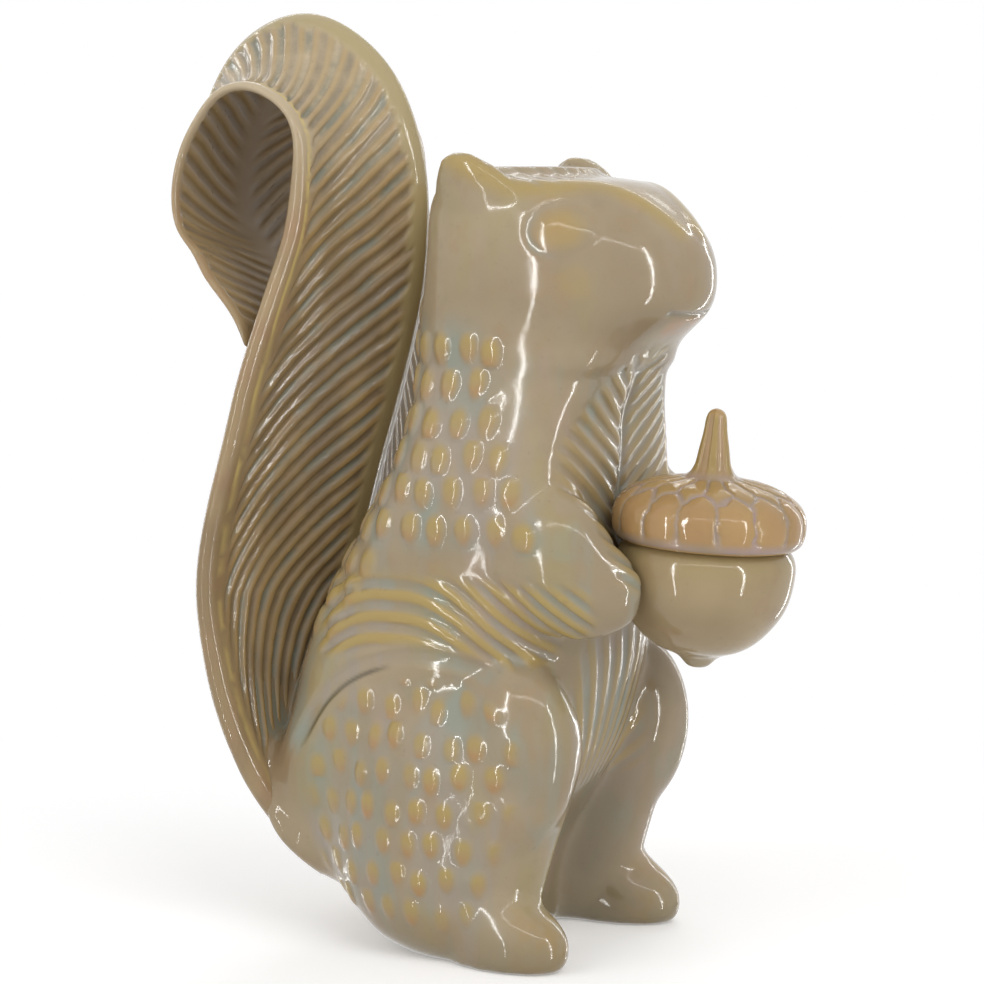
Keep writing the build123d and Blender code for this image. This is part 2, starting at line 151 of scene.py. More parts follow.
# The acorn's sizes in millimetres: radius and depth of the pot and of its inside, radius and height of the
# cap and of its stem, then the recess in the cap, its ring and the gap that it rests over.
BOWL_RADIUS = 27.0
BOWL_DEPTH = 38.0
HOLLOW_RADIUS = 23.2
HOLLOW_DEPTH = 31.0
CAP_RADIUS = 28.8
CAP_HEIGHT = 20.6
STEM_RADIUS = 6.0
STEM_HEIGHT = 20.0
RECESS_HEIGHT = 11.3
RING_INNER = 17.8
RING_OUTER = 20.4
RING_DEPTH = 5.0
SEAT_GAP = 0.3
ON_AXIS = 0.05


# Mesh helpers

def new_piece(name, mesh):
    """A mesh object in the scene, smooth all over."""
    piece = bpy.data.objects.new(name, mesh)
    bpy.context.scene.collection.objects.link(piece)
    mesh.polygons.foreach_set("use_smooth", np.ones(len(mesh.polygons), bool))
    return piece


def set_plain(piece):
    """Turns a piece's live modifiers into a plain mesh and removes them."""
    bpy.context.view_layer.update()
    done = piece.evaluated_get(bpy.context.evaluated_depsgraph_get())
    mesh = bpy.data.meshes.new_from_object(done)
    piece.modifiers.clear()
    piece.data = mesh
    mesh.polygons.foreach_set("use_smooth", np.ones(len(mesh.polygons), bool))


def curve_through(points, count):
    """Points evenly along a smooth curve through the given ones: a natural cubic spline."""
    points = np.array(points, float)
    knots = np.concatenate([[0.0], np.cumsum(np.linalg.norm(np.diff(points, axis=0), axis=1))])
    return spline_at(knots, points, np.linspace(0.0, knots[-1], count))


def spline_at(knots, values, at):
    """Values of a natural cubic spline through rows of values at the knots."""
    n = len(knots)
    gaps = np.diff(knots)
    table = np.eye(n)
    right = np.zeros((n, values.shape[1]))
    for i in range(1, n - 1):
        table[i, i - 1:i + 2] = gaps[i - 1], 2 * (gaps[i - 1] + gaps[i]), gaps[i]
        right[i] = 6 * ((values[i + 1] - values[i]) / gaps[i] - (values[i] - values[i - 1]) / gaps[i - 1])
    bend = np.linalg.solve(table, right)
    i = np.clip(np.searchsorted(knots, at, side="right") - 1, 0, n - 2)
    t = (at - knots[i])[:, None]
    h = gaps[i][:, None]
    slope = (values[i + 1] - values[i]) / h - h * (2 * bend[i] + bend[i + 1]) / 6
    return values[i] + slope * t + bend[i] / 2 * t ** 2 + (bend[i + 1] - bend[i]) / (6 * h) * t ** 3


def bezier(points, count):
    """Points on a cubic Bezier curve, evenly in its parameter."""
    t = np.linspace(0.0, 1.0, count)[:, None]
    p = np.array(points, float)
    return (1 - t) ** 3 * p[0] + 3 * t * (1 - t) ** 2 * p[1] + 3 * t ** 2 * (1 - t) * p[2] + t ** 3 * p[3]


def grid_mesh(name, rows):
    """A tube of quads from a row-by-row array of points, each row a closed loop, with its ends closed."""
    count, around = rows.shape[:2]
    verts = rows.reshape(-1, 3)
    i, j = np.meshgrid(np.arange(count - 1), np.arange(around), indexing="ij")
    k = (j + 1) % around
    this_row, next_row = i * around, (i + 1) * around
    quads = np.stack([this_row + j, this_row + k, next_row + k, next_row + j], -1).reshape(-1, 4)
    faces = [tuple(q) for q in quads.tolist()]
    verts = np.concatenate([verts, rows[0].mean(0)[None], rows[-1].mean(0)[None]])
    first, last = len(verts) - 2, len(verts) - 1
    base = (count - 1) * around
    for a in range(around):
        b = (a + 1) % around
        faces.append((first, b, a))
        faces.append((last, base + a, base + b))
    mesh = bpy.data.meshes.new(name)
    mesh.from_pydata((verts * MM).tolist(), [], faces)
    face_outwards(mesh)
    return mesh


def face_outwards(mesh):
    """Merges doubles and turns every face outwards."""
    work = bmesh.new()
    work.from_mesh(mesh)
    bmesh.ops.remove_doubles(work, verts=work.verts, dist=1e-7)
    bmesh.ops.recalc_face_normals(work, faces=work.faces)
    work.to_mesh(mesh)
    work.free()
    mesh.update()


def point_values(mesh, name, values):
    """Stores a number at each vertex."""
    stored = mesh.attributes.new(name, "FLOAT", "POINT")
    stored.data.foreach_set("value", np.asarray(values, np.float32).ravel())


# Node trees

class Amount:
    """A number that varies over a surface, held as a node's socket."""

    def __init__(self, bench, socket):
        self.bench = bench
        self.socket = socket

    def __add__(self, other):
        return self.bench.maths("ADD", self, other)

    __radd__ = __add__

    def __sub__(self, other):
        return self.bench.maths("SUBTRACT", self, other)

    def __rsub__(self, other):
        return self.bench.maths("SUBTRACT", other, self)

    def __mul__(self, other):
        return self.bench.maths("MULTIPLY", self, other)

    __rmul__ = __mul__

    def __truediv__(self, other):
        return self.bench.maths("DIVIDE", self, other)

    def __rtruediv__(self, other):
        return self.bench.maths("DIVIDE", other, self)

    def __neg__(self):
        return 0.0 - self

    def __abs__(self):
        return self.bench.maths("ABSOLUTE", self)


class Bench:
    """A node tree that is being put together, for a glaze or for carving."""

    def __init__(self, tree):
        self.tree = tree

    def node(self, kind, settings=None, sockets=None):
        """Adds a node: its settings come first, then a value or a link for each socket."""
        made = self.tree.nodes.new(kind)
        for name, value in (settings or {}).items():
            setattr(made, name, value)
        for name, value in (sockets or {}).items():
            if isinstance(value, Amount):
                value = value.socket
            if isinstance(value, bpy.types.NodeSocket):
                self.tree.links.new(value, made.inputs[name])
            else:
                made.inputs[name].default_value = value
        return made

    def maths(self, operation, *values):
        made = self.node("ShaderNodeMath", {"operation": operation}, dict(enumerate(values)))
        return Amount(self, made.outputs[0])

    def rise(self, value, start, end):
        """0 below start and 1 above end, smoothly in between."""
        made = self.node("ShaderNodeMapRange", {"interpolation_type": "SMOOTHSTEP"},
                         {0: value, 1: start, 2: end, 3: 0.0, 4: 1.0})
        return Amount(self, made.outputs[0])

    def fall(self, value, start, end):
        return 1 - self.rise(value, start, end)

    def least(self, a, b):
        return self.maths("MINIMUM", a, b)

    def most(self, a, b):
        return self.maths("MAXIMUM", a, b)

    def length(self, *parts):
        total = parts[0] * parts[0]
        for part in parts[1:]:
            total = total + part * part
        return self.maths("SQRT", total)

    def wave(self, turns):
        """Cosine of a number of whole turns."""
        return self.maths("COSINE", turns * (2 * pi))

    def vector(self, x, y, z):
        return self.node("ShaderNodeCombineXYZ", None, {0: x, 1: y, 2: z}).outputs[0]

    def split(self, socket):
        made = self.node("ShaderNodeSeparateXYZ", None, {0: socket})
        return [Amount(self, made.outputs[i]) for i in range(3)]

    def noise(self, place, scale, detail=2.0, roughness=0.5, stretch=None):
        """Soft noise from 0 to 1 about 0.5."""
        if stretch:
            longer = self.node("ShaderNodeVectorMath", {"operation": "MULTIPLY"}, {0: place, 1: stretch})
            place = longer.outputs[0]
        made = self.node("ShaderNodeTexNoise", {"noise_dimensions": "3D"},
                         {"Vector": place, "Scale": scale, "Detail": detail, "Roughness": roughness})
        return Amount(self, made.outputs[0])

    def scatter(self, column, row, seed):
        """Two random numbers for a cell, from 0 to 1."""
        cell = self.vector(column, row, seed)
        made = self.node("ShaderNodeTexWhiteNoise", {"noise_dimensions": "3D"}, {"Vector": cell})
        parts = self.node("ShaderNodeSeparateXYZ", None, {0: made.outputs["Color"]})
        return Amount(self, parts.outputs[0]), Amount(self, parts.outputs[1])


class Carving(Bench):
    """A Geometry Nodes tree that moves a surface in and out along its normals."""

    def __init__(self, name, sizes):
        tree = bpy.data.node_groups.new(name, "GeometryNodeTree")
        super().__init__(tree)
        tree.interface.new_socket("Geometry", in_out="INPUT", socket_type="NodeSocketGeometry")
        self.keys = {}
        kinds = dict.fromkeys(sizes, "NodeSocketFloat")
        kinds["glaze"] = "NodeSocketMaterial"
        for label, kind in kinds.items():
            self.keys[label] = tree.interface.new_socket(label, in_out="INPUT", socket_type=kind).identifier
        tree.interface.new_socket("Geometry", in_out="OUTPUT", socket_type="NodeSocketGeometry")
        self.start = self.node("NodeGroupInput")
        self.sizes = sizes
        self.shape = self.start.outputs["Geometry"]

    def size(self, label):
        return Amount(self, self.start.outputs[label])

    def place(self):
        """Where a point is, in millimetres."""
        at = self.node("GeometryNodeInputPosition").outputs[0]
        large = self.node("ShaderNodeVectorMath", {"operation": "SCALE"}, {0: at, "Scale": 1000.0}).outputs[0]
        return self.split(large)

    def normal(self):
        return self.split(self.node("GeometryNodeInputNormal").outputs[0])

    def kept(self, name):
        """A number stored at the vertices before."""
        made = self.node("GeometryNodeInputNamedAttribute", {"data_type": "FLOAT"}, {"Name": name})
        return Amount(self, made.outputs[0])

    def store(self, name, amount):
        made = self.node("GeometryNodeStoreNamedAttribute", {"data_type": "FLOAT", "domain": "POINT"},
                         {"Geometry": self.shape, "Name": name, "Value": amount})
        self.shape = made.outputs[0]

    def finish(self, height):
        """Moves the surface out by a height in millimetres and gives it its glaze."""
        out = self.node("GeometryNodeInputNormal").outputs[0]
        scaled = self.node("ShaderNodeVectorMath", {"operation": "SCALE"}, {0: out, "Scale": height * MM})
        push = scaled.outputs[0]
        moved = self.node("GeometryNodeSetPosition", None, {"Geometry": self.shape, "Offset": push})
        real = self.node("GeometryNodeRealizeInstances", None, {"Geometry": moved.outputs[0]})
        painted = self.node("GeometryNodeSetMaterial", None,
                            {"Geometry": real.outputs[0], "Material": self.start.outputs["glaze"]})
        self.node("NodeGroupOutput", None, {"Geometry": painted.outputs[0]})

    def apply(self, piece, glaze):
        live = piece.modifiers.new("carving", "NODES")
        live.node_group = self.tree
        for label, value in self.sizes.items():
            live[self.keys[label]] = float(value)
        live[self.keys["glaze"]] = glaze


def nearest_line(bench, here, line):
    """Distance in millimetres from a point to a line of straight runs."""
    near = None
    for start, end in zip(line, line[1:]):
        run = [b - a for a, b in zip(start, end)]
        size = sum(c * c for c in run)
        off = [p - a for p, a in zip(here, start)]
        share = (off[0] * run[0] + off[1] * run[1] + off[2] * run[2]) / size
        share = bench.least(bench.most(share, 0.0), 1.0)
        gap = bench.length(*[o - share * c for o, c in zip(off, run)])
        near = gap if near is None else bench.least(near, gap)
    return near


def drop(bench, along, up, spacing, row_height, half_width, half_length, seed, uneven):
    """Staggered raised drops: the height from 0 to 1, the drop's centre, and how low in it the point is."""
    row = bench.maths("ROUND", up / row_height)
    shift = bench.maths("FLOORED_MODULO", row, 2.0) * 0.5
    place = along / spacing + shift
    column = bench.maths("ROUND", place)
    left, high = bench.scatter(column, row, seed)
    across = (place - column) * spacing + (left - 0.5) * uneven
    over = up - row * row_height + (high - 0.5) * (uneven * 1.3)
    width = half_width * (1 + over / half_length * 0.16)
    gap = bench.length(across / width, over / half_length)
    strength = 0.72 + left * 0.28
    return bench.fall(gap, 0.35, 1.06) * strength, along - across, up - over, over / half_length


# Carving of the body, head and arms

BROW_LINE = [
    (6.0, 38.0, 243.0), (17.5, 37.8, 238.0), (23.5, 35.0, 234.5), (36.8, 29.0, 233.0), (47.3, 18.5, 234.0),
    (58.0, 12.0, 229.0), (67.0, 6.5, 221.0),
]


def figure_carving():
    """Tufts on the back and haunches, ribs on the flanks, barbs on the chest, and the face."""
    c = Carving("figure carving", {
        "tuft spacing": 9.2, "tuft row": 10.7, "tuft half width": 3.9, "tuft half length": 6.3,
        "tuft rise": 1.15, "haunch spacing": 9.0, "haunch row": 10.5, "haunch half width": 3.4,
        "haunch half length": 5.4, "haunch rise": 0.75, "rib spacing": 6.6, "rib rise": 0.95,
        "barb spacing": 6.2, "barb rise": 0.55, "belly spacing": 0.115, "belly rise": 0.42, "seed": 3.0,
    })
    x, y, z = c.place()
    nx, _, nz = c.normal()
    side = abs(y)

    # Tufts over the back and the upper flanks.
    reach = 46.3 - c.rise(z, 138.0, 181.0) * 9.2
    along = reach * c.maths("ARCTAN2", x - 12.0, side)
    tuft, mid_along, mid_up, low = drop(
        c, along - 4.6, z - 132.0, c.size("tuft spacing"), c.size("tuft row"), c.size("tuft half width"),
        c.size("tuft half length"), c.size("seed"), 2.4)
    edge = 23.0 - mid_up * 0.36
    back_edge = c.fall(mid_along, -34.0, -27.0)
    tuft = tuft * c.fall(mid_along, edge - 1.0, edge + 3.0)
    tuft = tuft * c.rise(mid_up, -6.0 - back_edge * 32.0, -3.0 - back_edge * 32.0)
    tuft = tuft * c.fall(mid_up, 55.0 + back_edge * 18.0, 60.0 + back_edge * 18.0) * c.rise(side, 3.0, 8.0)
    tuft = tuft * c.rise(x, -60.0, -48.0)
    torso = c.fall(along, edge + 3.0, edge + 12.0) * c.rise(z, 123.0, 129.0) * c.fall(z, 186.0, 200.0)

    # Haunch: a band round its top, then tufts below.
    around = c.length((x - HAUNCH_MIDDLE[0]) / HAUNCH_RADII[0], (z - HAUNCH_MIDDLE[1]) / HAUNCH_RADII[1])
    flank = c.rise(side, 20.0, 30.0)
    band_here = c.fall(x, 22.0, 30.0) * c.rise(z, 55.0, 66.0) * flank
    band = c.fall(abs(around - 1.0), 0.015, 0.075) * band_here
    slit = c.fall(abs(around - 0.945), 0.002, 0.026) * c.fall(x, -16.0, -6.0) * c.rise(z, 60.0, 70.0) * flank
    round_haunch = 51.0 * c.maths("ARCTAN2", x + 1.0, side)
    small, _, small_up, small_low = drop(
        c, round_haunch + 7.5, z - 79.0, c.size("haunch spacing"), c.size("haunch row"),
        c.size("haunch half width"), c.size("haunch half length"), c.size("seed") + 5.0, 2.8)
    knee = 37.0 - c.most(55.0 - z, 0.0) * 0.42
    small = small * c.fall(x, knee - 3.0, knee + 2.0) * c.rise(x, -44.0, -36.0) * c.fall(around, 0.84, 0.93)
    small = small * c.rise(small_up, -69.0, -62.0) * flank * c.fall(z, 84.0, 88.0)
    haunch = c.fall(around, 0.85, 0.95) * flank * c.fall(x, knee - 2.0, knee + 8.0)
    haunch = haunch * c.fall(z, 80.0, 92.0) * c.rise(z, 8.0, 22.0)

    # Ribs across the flank and down the forearm.
    bent = c.least(c.most(x + 5.0, 0.0), 24.0)
    behind = c.most(-12.0 - x, 0.0)
    level = z + bent * bent * (0.88 / 48.0) + c.most(x - 19.0, 0.0) * 0.9 + behind * behind * 0.018
    turns = (level - 98.3) / c.size("rib spacing")
    rib = c.rise(c.wave(turns), -0.75, 0.55)
    on_flank = c.rise(side, 27.0, 32.0) * c.rise(x, -43.0, -33.0) * c.fall(z, 113.5, 119.5)
    on_flank = on_flank * c.rise(z - c.most(x - 36.0, 0.0) * 0.62, 89.5, 94.5) * c.fall(x, 53.0, 59.0)
    on_flank = on_flank * c.rise(around, 1.05, 1.12)
    ribs = (rib - 1.0) * on_flank

    # Barbs that meet at the middle of the chest.
    chest_wide = 9.0 + (184.0 - z) * 1.0
    on_chest = c.rise(x, 33.0, 40.0) * c.rise(nx, 0.2, 0.55)
    on_chest = on_chest * c.fall(side, chest_wide - 4.0, chest_wide + 3.0) * c.fall(side, 32.0, 38.0)
    on_chest = on_chest * c.rise(z, 112.0, 120.0) * c.fall(z, 180.0, 189.0)
    barb = c.rise(c.wave((z - side * 0.7) / c.size("barb spacing")), -0.75, 0.6)
    valley = c.fall(side, 0.5, 5.0) * c.rise(x, 33.0, 40.0)
    valley = valley * c.rise(z, 112.0, 122.0) * c.fall(z, 172.0, 184.0)
    barbs = (barb - 1.0) * on_chest * c.rise(side, 1.0, 5.0)

    # Lines that fan up the belly.
    fan = c.maths("ARCTAN2", y, z - 28.0) / c.size("belly spacing")
    on_belly = c.rise(x, 24.0, 32.0) * c.rise(nx, 0.35, 0.7) * c.fall(side, 18.0, 24.0)
    on_belly = on_belly * c.rise(z, 48.0, 58.0) * c.fall(z, 92.0, 104.0)
    line = c.rise(c.wave(fan), -0.6, 0.5)
    belly = (line - 1.0) * on_belly

    # The face: low lens eyes in a ring, brow ridges up to the ears, and a short mouth.
    eye_along = (x - SQUIRREL_EYE[0]) * 0.94 - (side - SQUIRREL_EYE[1]) * 0.34
    eye_gap = c.length(eye_along / 10.2, (z - SQUIRREL_EYE[2]) / 8.0)
    at_eye = c.rise(side, 20.0, 25.0) * c.rise(x, 24.0, 30.0)
    eye_ring = c.fall(abs(eye_gap - 1.0), 0.05, 0.2) * at_eye
    eye = c.fall(eye_gap, 0.35, 0.98) * at_eye
    brow_gap = nearest_line(c, (x, side, z), BROW_LINE)
    brow = c.fall(brow_gap, 0.5, 6.5)
    mouth = c.fall(abs(z - MOUTH_HEIGHT - side * 0.05), 0.3, 1.3) * c.fall(side, 11.0, 14.5)
    mouth = mouth * c.rise(x, 58.0, 62.0) * c.rise(nx, 0.2, 0.5)
    lip = c.fall(abs(z - LIP_HEIGHT), 1.2, 3.6) * c.fall(side, 6.0, 11.0)
    lip = lip * c.rise(x, 57.0, 61.0) * c.rise(nx, 0.1, 0.4)
    under_eye = c.fall(c.length((x - 47.0) / 5.0, (z - 206.0) / 5.0), 0.5, 1.3) * at_eye
    fur = c.rise(c.wave(y / 5.0 + x / 16.0), 0.1, 0.9) * c.rise(nz, 0.55, 0.85)
    fur = fur * c.rise(z, 228.0, 233.0) * c.fall(x, 30.0, 44.0)

    # The drain hole in the flat underneath.
    drain = c.fall(c.length(x - DRAIN_FORWARD, y), 5.2, 6.3) * c.fall(z, 0.3, 0.9)

    height = tuft * c.size("tuft rise") + small * c.size("haunch rise") + ribs * c.size("rib rise")
    height = height + barbs * c.size("barb rise") + belly * c.size("belly rise") - valley * 1.2
    height = height - band * 0.8 - slit * 0.45 - eye_ring * 0.22 + eye * 0.5 + brow * 0.6
    height = height - mouth * 0.8 - fur * 0.2 - drain * DRAIN_DEPTH

    wet = c.rise(c.noise(c.vector(x * 0.05, y * 0.05, z * 0.05), 1.0, 2.0), 0.25, 0.75)
    pool = torso * (1 - c.least(tuft * 1.6, 1.0)) + haunch * (1 - c.least(small * 1.7, 1.0)) * 0.9
    pool = pool + (1 - rib) * on_flank + (1 - barb) * on_chest * 0.8 + (1 - line) * on_belly
    pool = pool + band * 1.1 + eye_ring * c.fall(x, 36.0, 44.0) * 0.7 + mouth + fur * 0.5 + valley * 0.6
    c.store("pool", c.least(pool, 1.0) * (0.75 + wet * 0.25))
    raised = tuft * c.rise(low, -1.1, 0.4) + small * c.rise(small_low, -1.0, 0.4) + rib * on_flank
    raised = raised + barb * on_chest * 0.5 + line * on_belly * 0.6 + brow * 0.8 + eye * 0.6
    c.store("raised", c.least(raised + under_eye * 0.3, 1.0))
    c.store("warm", c.least(tuft * c.fall(low, -0.9, 0.3) + small * c.fall(small_low, -0.8, 0.3) + lip * 1.2
                            + rib * on_flank * c.rise(turns - c.maths("ROUND", turns), -0.1, -0.4) * 0.6
                            + eye * c.fall(eye_gap, 0.2, 0.8) * 0.25, 1.0))
    # Painted shade: the haunch slit, the chest's middle valley and the mouth are marked here to be darkened
    # in the glaze.
    c.store("crease_shade", c.least(slit + valley * 0.45 + mouth * 0.25, 1.0))
    c.finish(height)
    return c


# Carving of the tail

def tail_carving():
    """Gouges in rows that lean down from the ridge, with rounded ends, on both faces."""
    c = Carving("tail carving", {
        "gouge depth": 1.15, "scoop gouge depth": 0.7, "ridge band": 4.6, "edge margin": 5.5,
    })
    turns, across, half, front = c.kept("gouge"), c.kept("across"), c.kept("half"), c.kept("front")
    x, y, z = c.place()
    whole = c.maths("ROUND", turns)
    uneven, other = c.scatter(whole, 1.0, 2.0)
    on_front, on_scoop = c.rise(front, 0.4, 0.6), c.rise(-front, 0.4, 0.6)
    near_ridge = c.rise(across - uneven * 2.0, c.size("ridge band") - 1.0, c.size("ridge band") + 2.0)
    near_ridge = near_ridge * on_front + on_scoop * c.rise(across, 1.0, 11.0)
    room = half - across - other * 2.5 + on_scoop * 4.0 + c.rise(c.kept("along"), 150.0, 260.0) * 3.0
    near_edge = c.rise(room, c.size("edge margin") - 2.5, c.size("edge margin") + 1.5)
    free = c.rise(c.kept("along"), 24.0, 40.0) * c.rise(c.kept("left"), 6.0, 14.0)
    wander = c.noise(c.vector(x * 0.045, abs(y) * 0.045, z * 0.045), 1.0, 2.0) - 0.5
    turns = turns + wander * 0.5
    cut = c.fall(c.wave(turns), -0.7, 0.7)
    other_cut = c.maths("FLOORED_MODULO", c.maths("ROUND", turns - 0.5), 2.0)
    shallow = 0.72 + other_cut * 0.28 + wander * 0.7
    deep = cut * shallow * near_ridge * near_edge * free
    gouge = deep * (on_front + on_scoop)
    rib = (1 - cut) * near_ridge * near_edge * free * (on_front + on_scoop)
    c.store("pool", gouge * (0.45 + other_cut * 0.55) * (on_front + on_scoop * 0.25))
    c.store("inner", on_scoop)
    c.store("raised", rib)
    c.store("warm", gouge * (1 - other_cut) * 0.8)
    c.store("rim", c.fall(abs(half - across - 0.9), 0.3, 1.5) * on_front)
    c.store("ridge", (1 - near_ridge) * on_front)
    c.finish(0.0 - deep * (on_front * c.size("gouge depth") + on_scoop * c.size("scoop gouge depth")))
    return c


def ease(value, start, end):
    """0 below start and 1 above end, smoothly in between, for numbers and arrays."""
    share = np.clip((np.asarray(value, float) - start) / (end - start), 0.0, 1.0)
    return share * share * (3 - 2 * share)


def tail_rows():
    """The tail's cross-sections from the root to the tip, and where each point lies on the leaf."""
    sizes = (TAIL_REACH, OVERALL_HEIGHT, TAIL_REACH, OVERALL_HEIGHT, TAIL_HALF_WIDTH, TAIL_THICKNESS)
    stations = np.array(TAIL_SHARES) * sizes
    mids = (stations[:, 0:2] + stations[:, 2:4]) / 2
    knots = np.concatenate([[0.0], np.cumsum(np.linalg.norm(np.diff(mids, axis=0), axis=1))])
    total = knots[-1]
    at = np.linspace(0.0, total, TAIL_ROWS)
    rows = spline_at(knots, stations, at)
    runs = [
        (FRONT_RUN, FRONT_RUN, 82, 1.0),
        (CREST_RUN, CURL_CREST_RUN, 12, 0.0),
        (SCOOP_RUN, CURL_SCOOP_RUN, 50, -1.0),
    ]
    curled = ease(at / total, CURL_BEGINS, CURL_IS_FULL)
    lean = np.interp(at / total, [s for s, _ in GOUGE_LEAN], [k for _, k in GOUGE_LEAN])
    phase = np.concatenate([[0.0], np.cumsum(np.diff(at) / (GOUGE_PITCH * np.sqrt(1 + lean[1:] ** 2)))])
    points, kept = [], {name: [] for name in ("gouge", "across", "half", "front", "along", "left")}
    for index, (ridge_back, ridge_up, edge_back, edge_up, half_width, thickness) in enumerate(rows):
        edge = np.array([-edge_back, 0.0, edge_up])
        up = np.array([-ridge_back, 0.0, ridge_up]) - edge
        rise = np.linalg.norm(up)
        up = up / rise
        half_loop, face, spans, widths = [], [], [], []
        for run, curl_run, number, front in runs:
            run = (1 - curled[index]) * np.array(run) + curled[index] * np.array(curl_run)
            shares = bezier(run, 160)
            flat = np.stack([shares[:, 0] * half_width, shares[:, 1] * rise - shares[:, 2] * thickness], 1)
            gone = np.concatenate([[0.0], np.cumsum(np.linalg.norm(np.diff(flat, axis=0), axis=1))])
            want = np.linspace(0.0, gone[-1], number + 1)[:-1]
            even = np.stack([np.interp(want, gone, flat[:, 0]), np.interp(want, gone, flat[:, 1])], 1)
            half_loop.append(even)
            face.append(np.full(number, front))
            nowhere = np.full(number, OUT_OF_REACH)
            spans.append(gone[-1] - want if front < 0 else (want if front > 0 else nowhere))
            widths.append(np.full(number, gone[-1]) if front else nowhere)
        half_loop.append(np.array([[0.0, run[3, 1] * rise - run[3, 2] * thickness]]))
        flat = np.concatenate(half_loop)
        face = np.concatenate(face + [np.array([-1.0])])
        span = np.concatenate(spans + [np.array([0.0])])
        width = np.concatenate(widths + [np.array([spans[2][0]])])
        tip = total - at[index]
        if tip < TIP_LENGTH:
            middle = flat.mean(0) * np.array([0.0, 1.0])
            flat = middle + (flat - middle) * sqrt(max(1.0 - (1.0 - tip / TIP_LENGTH) ** 2, 0.002))
        # One side from the ridge round to the middle of the back, then the other side back again.
        loop = np.concatenate([flat, flat[-2:0:-1] * np.array([-1.0, 1.0])])
        here = edge + np.outer(loop[:, 1], up) + np.outer(loop[:, 0], np.array([0.0, 1.0, 0.0]))
        points.append(here)
        side = np.concatenate([np.arange(len(flat)), np.arange(len(flat) - 2, 0, -1)])
        span, width, face = span[side], width[side], face[side]
        moved = at[index] + lean[index] * np.where(face < 0, SCOOP_LEAN, 1.0) * np.minimum(span, width)
        turns = np.interp(moved, at, phase) + np.maximum(moved - total, 0) / GOUGE_PITCH
        kept["gouge"].append(turns * np.where(face < 0, SCOOP_TURNS, 1.0))
        kept["across"].append(span)
        kept["half"].append(width)
        kept["front"].append(face)
        kept["along"].append(np.full(len(side), at[index]))
        kept["left"].append(np.full(len(side), tip))
    return np.array(points), at, kept


def drawn_in(rows, shares):
    """Each cross-section scaled about its own middle."""
    middles = rows.mean(axis=1, keepdims=True)
    return middles + (rows - middles) * shares[:, None, None]


def tail_mesh():
    """The tail as a leaf whose root sinks into the rump, with its gouge lines kept at the vertices."""
    rows, at, kept = tail_rows()
    mesh = grid_mesh("tail", drawn_in(rows, 0.86 + 0.14 * ease(at, 12.0, 44.0)))
    for name, values in kept.items():
        values = np.concatenate(values)
        ends = [values[0], values[-1]]
        point_values(mesh, name, np.concatenate([values, ends]))
    return mesh


# The acorn

def turned_mesh(name, outline, around):
    """Turns an outline of across and up, in millimetres, about the acorn's axis."""
    axis_x = Vector((cos(ACORN_TILT), 0.0, -sin(ACORN_TILT)))
    axis_z = Vector((sin(ACORN_TILT), 0.0, cos(ACORN_TILT)))
    turns = np.linspace(0.0, 2 * pi, around, endpoint=False)
    ring = np.outer(np.cos(turns), np.array(axis_x)) + np.outer(np.sin(turns), np.array([0.0, 1.0, 0.0]))
    origin = np.array(ACORN_SEAT) / MM
    outline = np.array(outline, float)
    out, up = outline[:, 0][:, None, None], outline[:, 1][:, None, None]
    return grid_mesh(name, origin + out * ring[None] + up * np.array(axis_z))


def even_line(points, step):
    """Points along straight runs, about a step apart."""
    out = [points[0]]
    for start, end in zip(points, points[1:]):
        count = max(int(round(np.hypot(end[0] - start[0], end[1] - start[1]) / step)), 1)
        run = np.array(end) - np.array(start)
        out += [tuple(np.array(start) + run * i / count) for i in range(1, count + 1)]
    return out


# The outside and the inside of the pot, from the mouth down, as shares of their radius and depth.
POT_SHARES = [
    (0.985, 0.09), (1.00, 0.26), (0.94, 0.46), (0.76, 0.67), (0.46, 0.84), (0.20, 0.925), (0.11, 0.985),
]
HOLLOW_SHARES = [(0.985, 0.20), (0.96, 0.45), (0.80, 0.72), (0.45, 0.94)]


def pot_mesh():
    """The pot: its outside from the mouth to the nub underneath, and its inside."""
    side = [(a * BOWL_RADIUS, -d * BOWL_DEPTH) for a, d in POT_SHARES]
    outside = curve_through([(24.6, -0.15)] + side + [(ON_AXIS, -BOWL_DEPTH)], 90)
    hollow = [(a * HOLLOW_RADIUS, -d * HOLLOW_DEPTH) for a, d in HOLLOW_SHARES]
    inside = curve_through([(21.1, -0.5)] + hollow + [(ON_AXIS, -HOLLOW_DEPTH)], 60)
    lip = [(24.3, 0.0), (23.4, 0.0), (22.2, 0.0), (21.5, -0.1)]
    outline = [tuple(p) for p in outside[::-1]] + lip + [tuple(p) for p in inside]
    return turned_mesh("acorn_pot", outline, 160)


# The cap from its rim to the foot of the stem, and the stem, as shares of their radius and height.
CAP_SHARES = [(1.00, 0.20), (0.985, 0.49), (0.86, 0.72), (0.51, 0.905)]
STEM_SHARES = [(1.12, 0.06), (0.82, 0.36), (0.60, 0.72), (0.36, 0.955)]


def cap_outline():
    """The cap from the ceiling of its recess, down its ring, under its rim and up to the tip of its stem."""
    dome = curve_through(
        [(27.0, 0.35), (28.2, 1.5)] + [(a * CAP_RADIUS, u * CAP_HEIGHT) for a, u in CAP_SHARES]
        + [(a * STEM_RADIUS, CAP_HEIGHT + u * STEM_HEIGHT) for a, u in STEM_SHARES]
        + [(0.9, 40.4), (ON_AXIS, CAP_HEIGHT + STEM_HEIGHT)], 230)
    under = even_line([
        (ON_AXIS, RECESS_HEIGHT), (13.5, RECESS_HEIGHT), (RING_INNER, 0.5), (RING_INNER, -4.9),
        (18.1, -RING_DEPTH), (20.1, -RING_DEPTH), (RING_OUTER, -4.8), (RING_OUTER, SEAT_GAP),
        (26.2, SEAT_GAP),
    ], 1.0)
    return under + [tuple(p) for p in dome]


def cap_mesh():
    """The cap, turned from its outline."""
    return turned_mesh("acorn_cap", cap_outline(), 300)


